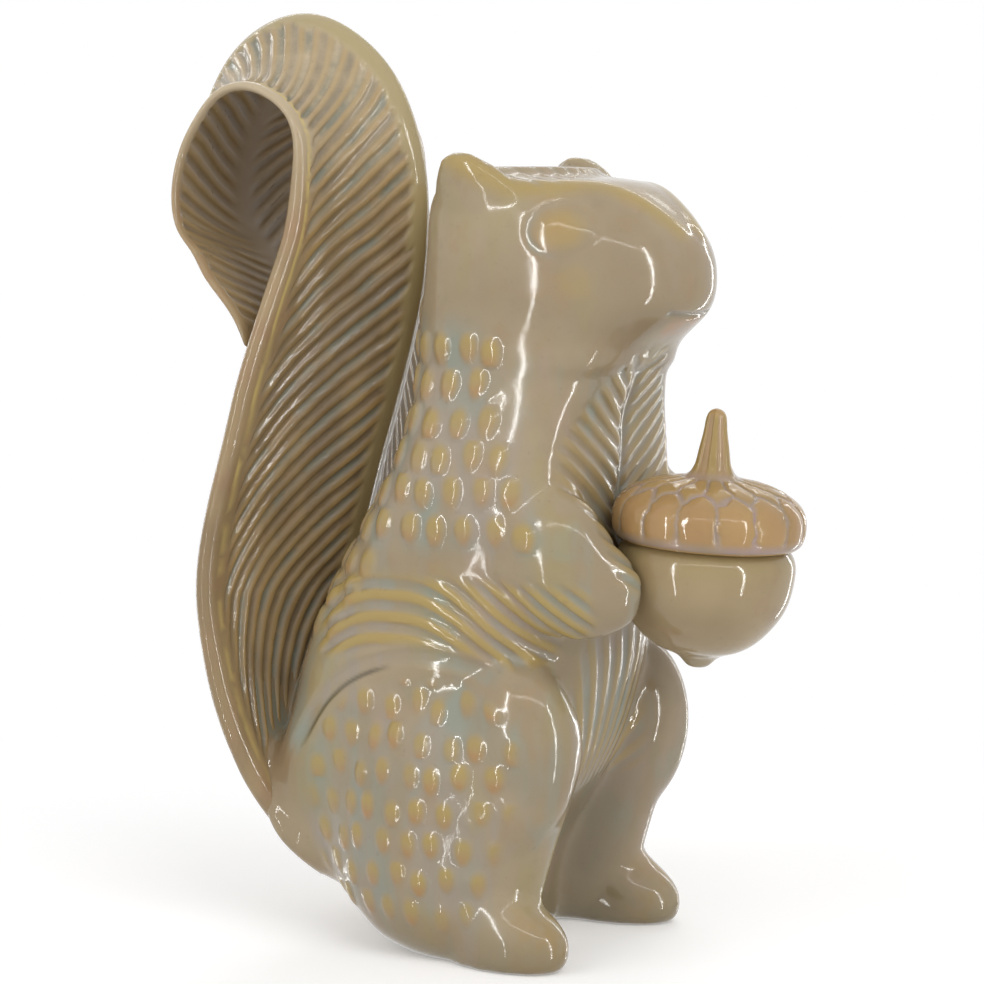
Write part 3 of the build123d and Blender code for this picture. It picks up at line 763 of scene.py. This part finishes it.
def cap_carving():
    """Two rows of pointed scales round the cap, and flutes up its stem."""
    c = Carving("cap carving", {
        "scales": 15.0, "upper row": 15.0, "lower row": 30.0, "groove depth": 0.6, "groove width": 0.95,
        "flutes": 6.0, "flute depth": 0.45, "turn": 0.4125,
    })
    x, y, z = c.place()
    seat = ACORN_SEAT / MM
    out = (x - seat.x) * cos(ACORN_TILT) - (z - seat.z) * sin(ACORN_TILT)
    up = (x - seat.x) * sin(ACORN_TILT) + (z - seat.z) * cos(ACORN_TILT)
    far = c.length(out, y)
    turn = c.maths("ARCTAN2", y, out) / (2 * pi)
    # Down the cap's outside: the distance from its axis, then the drop down its rim.
    down = far + c.most(14.0 - up, 0.0) * 0.75
    waver = c.noise(c.vector(x * 0.16, y * 0.16, z * 0.16), 1.0, 2.0) - 0.5
    cells = turn * c.size("scales") + c.size("turn") + waver * 0.45
    down = down + waver * 4.0
    upper = cells - c.maths("ROUND", cells)
    lower = cells + 0.5 - c.maths("ROUND", cells + 0.5)
    wide = far * (2 * pi) / c.size("scales")
    up_gap = c.length(upper * wide, (down - c.size("upper row")) * 0.55)
    low_gap = c.length(lower * wide, (down - c.size("lower row")) * 0.55)
    cross = (low_gap - up_gap) * 0.5
    in_upper = c.rise(cross, -0.05, 0.05)
    between = in_upper * (0.5 - abs(upper)) * wide + (1 - in_upper) * (0.5 - abs(lower)) * wide
    border = c.least(abs(cross), between)
    on_top = c.rise(up, 1.5, 5.0) * c.rise(far, 8.0, 10.5)
    outside = c.rise(up, 0.6, 1.2) * c.rise(far, 20.5, 22.0) + c.rise(up, 12.5, 14.5)
    outside = c.least(outside, 1.0)
    flare = 1 + c.fall(up, 2.0, 7.5) * 1.3
    groove = c.fall(border, 0.0, c.size("groove width") * flare) * on_top * outside
    crown = c.rise(border, 0.2, 4.5) * on_top * outside
    stem = c.rise(up, 19.0, 23.0) * c.fall(up, 37.0, 40.5)
    flute = c.rise(c.wave(turn * c.size("flutes") + 0.1), -0.5, 0.7)
    collar = c.fall(abs(far - 8.3), 0.6, 2.2) * c.rise(up, 15.0, 17.0) * c.fall(up, 21.5, 24.0)
    rim = c.fall(up, 1.5, 4.5) * c.rise(far, 24.0, 26.0)
    pool = groove * 1.1 + rim * 0.85 + collar * 0.6 + (1 - flute) * stem * 0.25
    c.store("pool", c.least(pool, 1.0) * outside)
    c.store("raised", c.least(stem * (0.55 + flute * 0.45) + in_upper * on_top * 0.45, 1.0))
    c.store("warm", c.least(crown * 0.8 + stem * (1 - flute) * 0.5, 1.0))
    height = crown * 0.4 - groove * c.size("groove depth") - (1 - flute) * stem * c.size("flute depth")
    c.finish(height - collar * 0.2)
    return c


# Glazes

def shade(red, green, blue):
    """A colour as it is seen on a screen, from 0 to 255, as the shader takes it."""
    parts = [v / 255 for v in (red, green, blue)]
    return tuple(v / 12.92 if v <= 0.04045 else ((v + 0.055) / 1.055) ** 2.4 for v in parts) + (1.0,)


class Glaze(Bench):
    """A glossy stoneware glaze that pools in the hollows and breaks to another colour on the high places."""

    def __init__(self, name):
        self.material = bpy.data.materials.new(name)
        self.material.use_nodes = True
        self.material.node_tree.nodes.clear()
        super().__init__(self.material.node_tree)
        self.where = self.node("ShaderNodeTexCoord").outputs["Object"]

    def kept(self, name):
        made = self.node("ShaderNodeAttribute", {"attribute_name": name, "attribute_type": "GEOMETRY"})
        return Amount(self, made.outputs["Fac"])

    def blend(self, first, second, amount):
        """From the first colour to the second as the amount goes from 0 to 1."""
        made = self.node("ShaderNodeMix", {"data_type": "RGBA", "blend_type": "MIX", "clamp_factor": True},
                         {0: amount, 6: first, 7: second})
        return made.outputs[2]

    def fired(self, colour, roughness, ripple):
        """Finishes the glaze: its gloss, and the fine ripple of its surface."""
        bump = self.node("ShaderNodeBump", None, {"Strength": 0.35, "Distance": 0.0004, "Height": ripple})
        base = self.node("ShaderNodeBsdfPrincipled", None, {
            "Base Color": colour, "Roughness": roughness, "IOR": 1.5, "Specular IOR Level": 0.38,
            "Normal": bump.outputs[0]})
        self.node("ShaderNodeOutputMaterial", None, {"Surface": base.outputs[0]})
        return self.material


def figure_glaze():
    g = Glaze("taupe_glaze_with_ochre_tufts")
    x, y, z = g.split(g.where)
    cloud = g.noise(g.where, 22.0, 3.0, 0.55)
    patch = g.noise(g.where, 60.0, 3.0, 0.6)
    mottle = g.noise(g.where, 130.0, 3.0, 0.6)
    fine = g.noise(g.where, 420.0, 2.0, 0.6)
    streak = g.noise(g.where, 110.0, 2.0, 0.5, (1.0, 1.0, 0.22))
    body = g.blend(shade(152, 135, 108), shade(167, 150, 121), g.rise(cloud, 0.3, 0.7))
    body = g.blend(body, shade(162, 134, 98), g.rise(patch, 0.5, 0.72) * 0.55)
    body = g.blend(body, shade(148, 148, 132), g.rise(streak, 0.5, 0.72) * g.fall(z, 0.17, 0.2) * 0.5)
    body = g.blend(body, shade(142, 128, 106), g.rise(mottle, 0.55, 0.75) * 0.3)
    flow = g.noise(g.where, 38.0, 3.0, 0.6, (1.0, 1.0, 0.4))
    body = g.blend(body, shade(160, 148, 98), g.rise(flow, 0.53, 0.68) * 0.42)
    body = g.blend(body, shade(170, 148, 132), g.fall(flow, 0.34, 0.46) * 0.4)
    root = g.rise(-x, 0.036, 0.056) * g.rise(z, 0.034, 0.062)
    root_tint = g.blend(shade(140, 118, 88), shade(128, 128, 112), g.rise(streak, 0.45, 0.6))
    body = g.blend(body, root_tint, root * 0.85)
    # Painted shade: the hollow between the legs, under the belly, is darkened.
    hollow = g.fall(abs(y), 0.016, 0.03) * g.rise(x, 0.008, 0.028) * g.fall(z, 0.036, 0.072)
    body = g.blend(body, shade(118, 110, 92), hollow * 0.6)
    toes = g.rise(x, 0.026, 0.046) * g.fall(z, 0.014, 0.03) * g.rise(patch, 0.42, 0.6)
    body = g.blend(body, shade(166, 136, 82), toes * 0.6)
    # Painted shade: darker towards the floor, over the lowest 20 mm.
    body = g.blend(body, shade(134, 122, 92), g.fall(z, 0.0, 0.02) * 0.55)
    pool, raised, warm, crease_shade = g.kept("pool"), g.kept("raised"), g.kept("warm"), g.kept("crease_shade")
    tint = g.blend(body, shade(172, 148, 88), g.least(raised * (0.6 + patch * 0.9), 1.0) * 0.88)
    tint = g.blend(tint, shade(176, 132, 84), g.least(warm * (0.3 + g.rise(mottle, 0.35, 0.65)), 1.0) * 0.8)
    wash = g.blend(shade(142, 150, 138), shade(160, 148, 134), g.rise(cloud, 0.4, 0.6))
    tint = g.blend(tint, wash, g.least(pool * (0.3 + g.rise(streak, 0.38, 0.62) * 0.7), 1.0) * 0.85)
    # Painted shade: a near-black brown laid into the haunch slit, the chest valley and the mouth.
    tint = g.blend(tint, shade(90, 82, 66), crease_shade * 0.8)
    tint = g.blend(tint, shade(128, 110, 86), g.rise(fine, 0.62, 0.8) * 0.2)
    return g.fired(tint, 0.13 + (cloud - 0.5) * 0.1, patch * 0.6 + fine * 0.12)


def tail_glaze():
    g = Glaze("brown_ochre_tail_glaze")
    z = g.split(g.where)[2]
    cloud = g.noise(g.where, 18.0, 3.0, 0.55)
    patch = g.noise(g.where, 75.0, 3.0, 0.6)
    mottle = g.noise(g.where, 150.0, 3.0, 0.6)
    fine = g.noise(g.where, 420.0, 2.0, 0.6)
    inner = g.kept("inner")
    body = g.blend(shade(150, 128, 94), shade(166, 143, 108), g.rise(cloud, 0.3, 0.7))
    body = g.blend(body, shade(160, 128, 98), g.rise(patch, 0.45, 0.7) * 0.6)
    # Painted highlight: the front of the tail's curl is painted paler towards its top, as if lit from above.
    body = g.blend(body, shade(200, 183, 154), g.rise(z, 0.22, 0.275) * (1 - inner) * 0.85)
    body = g.blend(body, shade(150, 126, 88), inner * 0.7)
    pool, raised, warm = g.kept("pool"), g.kept("raised"), g.kept("warm")
    tint = g.blend(body, shade(158, 130, 76), g.least(raised * (0.15 + patch * 1.1), 1.0) * 0.75)
    tint = g.blend(tint, shade(92, 74, 52), g.least(warm * (0.2 + mottle * 1.3), 1.0) * 0.8)
    # Darker brown patches over the tail below the curl: partly random mottle, partly painted shade of the
    # lower tail beside the back.
    shade_mottle = g.rise(g.noise(g.where, 30.0, 3.0, 0.65, (1.0, 1.0, 0.5)), 0.47, 0.64) * g.fall(z, 0.2, 0.25)
    tint = g.blend(tint, shade(104, 84, 62), shade_mottle * (0.25 + raised * 0.3))
    wash = g.blend(shade(112, 116, 102), shade(136, 138, 124), g.rise(cloud, 0.35, 0.65))
    tint = g.blend(tint, wash, g.least(pool * g.rise(patch, 0.3, 0.62), 1.0) * 0.85)
    tint = g.blend(tint, shade(168, 152, 108), g.kept("ridge") * 0.8)
    tint = g.blend(tint, shade(208, 186, 118), g.kept("rim") * 0.9)
    tint = g.blend(tint, shade(100, 84, 62), g.rise(fine, 0.62, 0.8) * 0.2)
    return g.fired(tint, 0.13 + (cloud - 0.5) * 0.1 + inner * 0.4, patch * 0.6 + fine * 0.12)


def pot_glaze():
    g = Glaze("plain_taupe_pot_glaze")
    cloud = g.noise(g.where, 30.0, 3.0, 0.5)
    patch = g.noise(g.where, 70.0, 3.0, 0.6)
    fine = g.noise(g.where, 420.0, 2.0, 0.6)
    z = g.split(g.where)[2]
    body = g.blend(shade(154, 134, 102), shade(168, 148, 114), g.rise(cloud, 0.3, 0.7))
    body = g.blend(body, shade(156, 138, 92), g.rise(z, 0.112, 0.126) * 0.6)
    body = g.blend(body, shade(152, 124, 94), g.rise(patch, 0.5, 0.8) * 0.5)
    body = g.blend(body, shade(160, 148, 122), g.fall(z, 0.089, 0.1) * 0.6)
    body = g.blend(body, shade(128, 110, 84), g.rise(fine, 0.62, 0.8) * 0.18)
    return g.fired(body, 0.11 + (cloud - 0.5) * 0.08, patch * 0.5 + fine * 0.1)


def cap_glaze():
    g = Glaze("peach_scale_glaze")
    cloud = g.noise(g.where, 45.0, 3.0, 0.5)
    patch = g.noise(g.where, 110.0, 3.0, 0.6)
    fine = g.noise(g.where, 420.0, 2.0, 0.6)
    body = g.blend(shade(160, 129, 86), shade(176, 145, 96), g.rise(cloud, 0.3, 0.7))
    pool, raised, warm = g.kept("pool"), g.kept("raised"), g.kept("warm")
    tint = g.blend(body, shade(158, 138, 84), g.least(raised * (0.5 + patch * 0.6), 1.0) * 0.75)
    tint = g.blend(tint, shade(180, 138, 94), g.least(warm * (0.2 + patch * 0.8), 1.0) * 0.6)
    tint = g.blend(tint, g.blend(shade(152, 142, 130), shade(160, 142, 150), g.rise(cloud, 0.35, 0.65)),
                   g.least(pool * (0.45 + patch * 0.8), 1.0) * 0.8)
    tint = g.blend(tint, shade(132, 104, 74), g.rise(fine, 0.62, 0.8) * 0.2)
    return g.fired(tint, 0.11 + (cloud - 0.5) * 0.08, patch * 0.5 + fine * 0.1)


# Pieces

def figure_mesh():
    """The body, head and arms as one casting: joined, the inside dropped, and the seams softened."""
    parts = bmesh.new()
    for node in ("body_shell", "head_shell", "left_arm", "right_arm"):
        parts.from_mesh(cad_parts[node].data)
    bmesh.ops.remove_doubles(parts, verts=parts.verts, dist=1e-6)
    plug = bmesh.ops.create_cone(
        parts, cap_ends=True, segments=48, radius1=PLUG_RADIUS * MM, radius2=PLUG_RADIUS * MM,
        depth=PLUG_HEIGHT * MM)
    bmesh.ops.translate(parts, verts=plug["verts"], vec=Vector((DRAIN_FORWARD, 0.0, PLUG_HEIGHT / 2)) * MM)
    rows, at, _ = tail_rows()
    low = at < ROOT_LENGTH
    root = grid_mesh("root", drawn_in(rows[low], 1.03 - 0.19 * ease(at[low], 20.0, 58.0))[::3, ::4])
    parts.from_mesh(root)
    bpy.data.meshes.remove(root)
    for (forward, sideways, high), radii in HIPS:
        for hand in (1, -1):
            hip = bmesh.ops.create_uvsphere(parts, u_segments=32, v_segments=20, radius=MM)
            bmesh.ops.scale(parts, verts=hip["verts"], vec=Vector(radii))
            middle = Vector((forward, hand * sideways, high)) * MM
            bmesh.ops.translate(parts, verts=hip["verts"], vec=middle)
    mesh = bpy.data.meshes.new("figure")
    parts.to_mesh(mesh)
    parts.free()
    piece = new_piece("figure", mesh)
    remesh = piece.modifiers.new("cast", "REMESH")
    remesh.mode = "VOXEL"
    remesh.voxel_size = SKIN_VOXEL * MM
    set_plain(piece)
    keep_outside(piece.data)
    soften = piece.modifiers.new("soften", "SMOOTH")
    soften.factor = 0.5
    soften.iterations = SOFTEN_ROUNDS
    # The tail's root flows into the rump in a wide soft fillet.
    places = np.empty(len(piece.data.vertices) * 3)
    piece.data.vertices.foreach_get("co", places)
    places = places.reshape(-1, 3) / MM
    pull = ease(-places[:, 0], 14.0, 30.0) * ease(-places[:, 2], -92.0, -76.0)
    group = piece.vertex_groups.new(name="root")
    for index in np.nonzero(pull > 0.02)[0]:
        group.add([int(index)], float(pull[index]), "REPLACE")
    flow = piece.modifiers.new("flow", "SMOOTH")
    flow.factor = 0.5
    flow.iterations = FLOW_ROUNDS
    flow.vertex_group = "root"
    fine = piece.modifiers.new("fine", "SUBSURF")
    fine.levels = fine.render_levels = 1
    return piece


def keep_outside(mesh):
    """Keeps only the largest closed surface of a mesh."""
    work = bmesh.new()
    work.from_mesh(mesh)
    work.verts.ensure_lookup_table()
    seen = np.zeros(len(work.verts), bool)
    groups = []
    for first in work.verts:
        if seen[first.index]:
            continue
        seen[first.index] = True
        group, edge = [first], [first]
        while edge:
            vert = edge.pop()
            for link in vert.link_edges:
                other = link.other_vert(vert)
                if not seen[other.index]:
                    seen[other.index] = True
                    group.append(other)
                    edge.append(other)
        groups.append(group)
    groups.sort(key=lambda g: max(v.co.z for v in g) - min(v.co.z for v in g))
    for group in groups[:-1]:
        bmesh.ops.delete(work, geom=group, context="VERTS")
    work.to_mesh(mesh)
    work.free()
    mesh.update()


def thin_out(piece, most_triangles):
    """Adds a Decimate that brings a piece under its share of triangles, keeping the carved places."""
    bpy.context.view_layer.update()
    done = piece.evaluated_get(bpy.context.evaluated_depsgraph_get()).to_mesh()
    done.calc_loop_triangles()
    count = len(done.loop_triangles)
    if count > most_triangles:
        thin = piece.modifiers.new("thin", "DECIMATE")
        thin.ratio = most_triangles / count


figure = figure_mesh()
figure_carving().apply(figure, figure_glaze())
thin_out(figure, MOST_TRIANGLES)
set_plain(figure)
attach(figure, "figure")
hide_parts("body_shell", "head_shell", "left_arm", "right_arm")

tail = new_piece("tail_leaf", tail_mesh())
tail_carving().apply(tail, tail_glaze())
thin_out(tail, MOST_TRIANGLES)
set_plain(tail)
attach(tail, "figure")
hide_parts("tail")

pot = new_piece("acorn_pot", pot_mesh())
pot.data.materials.append(pot_glaze())
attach(pot, "figure")
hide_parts("acorn_cup")

cap = new_piece("acorn_cap", cap_mesh())
cap_carving().apply(cap, cap_glaze())
thin_out(cap, CAP_TRIANGLES)
set_plain(cap)
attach(cap, "lid")
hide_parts("acorn_lid")


# Floor, light and camera

def floor_material():
    """Pale under the figurine, where it takes the shadow, and white to the camera further out."""
    paint = Glaze("pale_floor")
    seen = Amount(paint, paint.node("ShaderNodeLightPath").outputs["Is Camera Ray"])
    x, y, _ = paint.split(paint.where)
    away = paint.rise(paint.length(x, y), 0.12, 0.4)
    matt = paint.node("ShaderNodeBsdfDiffuse", None, {"Color": (0.86, 0.86, 0.86, 1.0)})
    lift = paint.node("ShaderNodeEmission", None, {"Color": (1.0, 1.0, 1.0, 1.0), "Strength": 0.25})
    white = paint.node("ShaderNodeEmission", None, {"Color": (1.0, 1.0, 1.0, 1.0), "Strength": 1.0})
    both = paint.node("ShaderNodeAddShader", None, {0: matt.outputs[0], 1: lift.outputs[0]})
    near = paint.node("ShaderNodeMixShader", None, {0: away, 1: both.outputs[0], 2: white.outputs[0]})
    mixed = paint.node("ShaderNodeMixShader", None, {0: seen, 1: matt.outputs[0], 2: near.outputs[0]})
    paint.node("ShaderNodeOutputMaterial", None, {"Surface": mixed.outputs[0]})
    return paint.material


FLOOR_REACH = 30.0
FLOOR_HEIGHT = -0.0002
floor_mesh = bpy.data.meshes.new("floor")
corners = [(i * FLOOR_REACH, j * FLOOR_REACH, FLOOR_HEIGHT) for i, j in ((-1, -1), (1, -1), (1, 1), (-1, 1))]
floor_mesh.from_pydata(corners, [], [(0, 1, 2, 3)])
floor = new_piece("floor", floor_mesh)
floor_mesh.materials.append(floor_material())
floor.visible_glossy = False


def set_world():
    """A soft even light, which the camera, gloss and glass see as white."""
    world = bpy.data.worlds.new("studio")
    bpy.context.scene.world = world
    world.use_nodes = True
    world.node_tree.nodes.clear()
    sky = Bench(world.node_tree)
    path = sky.node("ShaderNodeLightPath")
    kinds = ("Is Camera Ray", "Is Glossy Ray", "Is Transmission Ray")
    camera, glossy, through = [Amount(sky, path.outputs[kind]) for kind in kinds]
    seen = sky.most(sky.most(camera, glossy), through)
    soft = sky.node("ShaderNodeBackground", None, {"Color": (1.0, 1.0, 1.0, 1.0), "Strength": 0.54})
    white = sky.node("ShaderNodeBackground", None, {"Color": (1.0, 1.0, 1.0, 1.0), "Strength": 1.0})
    mixed = sky.node("ShaderNodeMixShader", None, {0: seen, 1: soft.outputs[0], 2: white.outputs[0]})
    sky.node("ShaderNodeOutputWorld", None, {"Surface": mixed.outputs[0]})


def aim(thing, target):
    """Turns a lamp or the camera towards a point."""
    thing.rotation_euler = (Vector(target) - thing.location).to_track_quat("-Z", "Y").to_euler()


# The point that every lamp faces.
LIT_POINT = Vector((0.0, 0.0, 0.14))


def panel(name, azimuth, elevation, distance, width, height, power, glossy_only):
    """A rectangular light that faces the figurine. Azimuth is counted from -Y towards +X, as for the camera.
    """
    data = bpy.data.lights.new(name, "AREA")
    data.shape = "RECTANGLE"
    data.size, data.size_y, data.energy = width, height, power
    lamp = bpy.data.objects.new(name, data)
    a, e = radians(azimuth), radians(elevation)
    lamp.location = Vector((sin(a) * cos(e), -cos(a) * cos(e), sin(e))) * distance + LIT_POINT
    aim(lamp, LIT_POINT)
    lamp.visible_camera = False
    lamp.visible_glossy = glossy_only
    lamp.visible_diffuse = not glossy_only
    lamp.visible_transmission = False
    bpy.context.scene.collection.objects.link(lamp)


# Each light's name, azimuth and elevation in degrees, distance, width, height, power, and whether only the
# gloss shows it. The cloths light the figurine, and the edges are the narrow strips seen in its glaze.
LIGHTS = [
    ("key_cloth", 60.0, 38.0, 1.7, 1.2, 1.2, 11.5, False),
    ("fill_cloth", -25.0, 30.0, 1.7, 1.2, 1.2, 7.5, False),
    ("back_cloth", 200.0, 40.0, 1.7, 1.2, 1.2, 8.0, False),
    ("left_edge", -11.0, 4.0, 1.6, 0.04, 1.9, 15.0, True),
    ("right_edge", 77.0, 4.0, 1.6, 0.04, 1.9, 15.0, True),
    ("far_left_edge", 169.0, 4.0, 1.6, 0.04, 1.9, 4.0, True),
    ("far_right_edge", 257.0, 4.0, 1.6, 0.04, 1.9, 4.0, True),
    ("top_edge", 33.0, 38.0, 1.6, 1.9, 0.03, 3.0, True),
    ("far_top_edge", 213.0, 38.0, 1.6, 1.9, 0.03, 1.5, True),
]
set_world()
for light in LIGHTS:
    panel(*light)

# The camera stands where the photograph was taken from. Its shift is in pixels of a frame 984 wide.
EYE_LENS = 105.8
EYE_SHIFT = -2.65
FRAME_WIDTH = 984
EYE_DISTANCE = 0.9
EYE_AZIMUTH = radians(30.5)
EYE_HEIGHT = 0.2225
EYE_TARGET = (0.0, 0.0, 0.1393)
eye_data = bpy.data.cameras.new("photo_eye")
eye_data.lens = EYE_LENS
eye_data.sensor_width = 36.0
eye_data.shift_x = EYE_SHIFT / FRAME_WIDTH
eye_object = bpy.data.objects.new("photo_eye", eye_data)
bpy.context.scene.collection.objects.link(eye_object)
eye_object.location = (EYE_DISTANCE * sin(EYE_AZIMUTH), -EYE_DISTANCE * cos(EYE_AZIMUTH), EYE_HEIGHT)
aim(eye_object, EYE_TARGET)
bpy.context.scene.camera = eye_object

bpy.context.scene.view_settings.view_transform = "Standard"
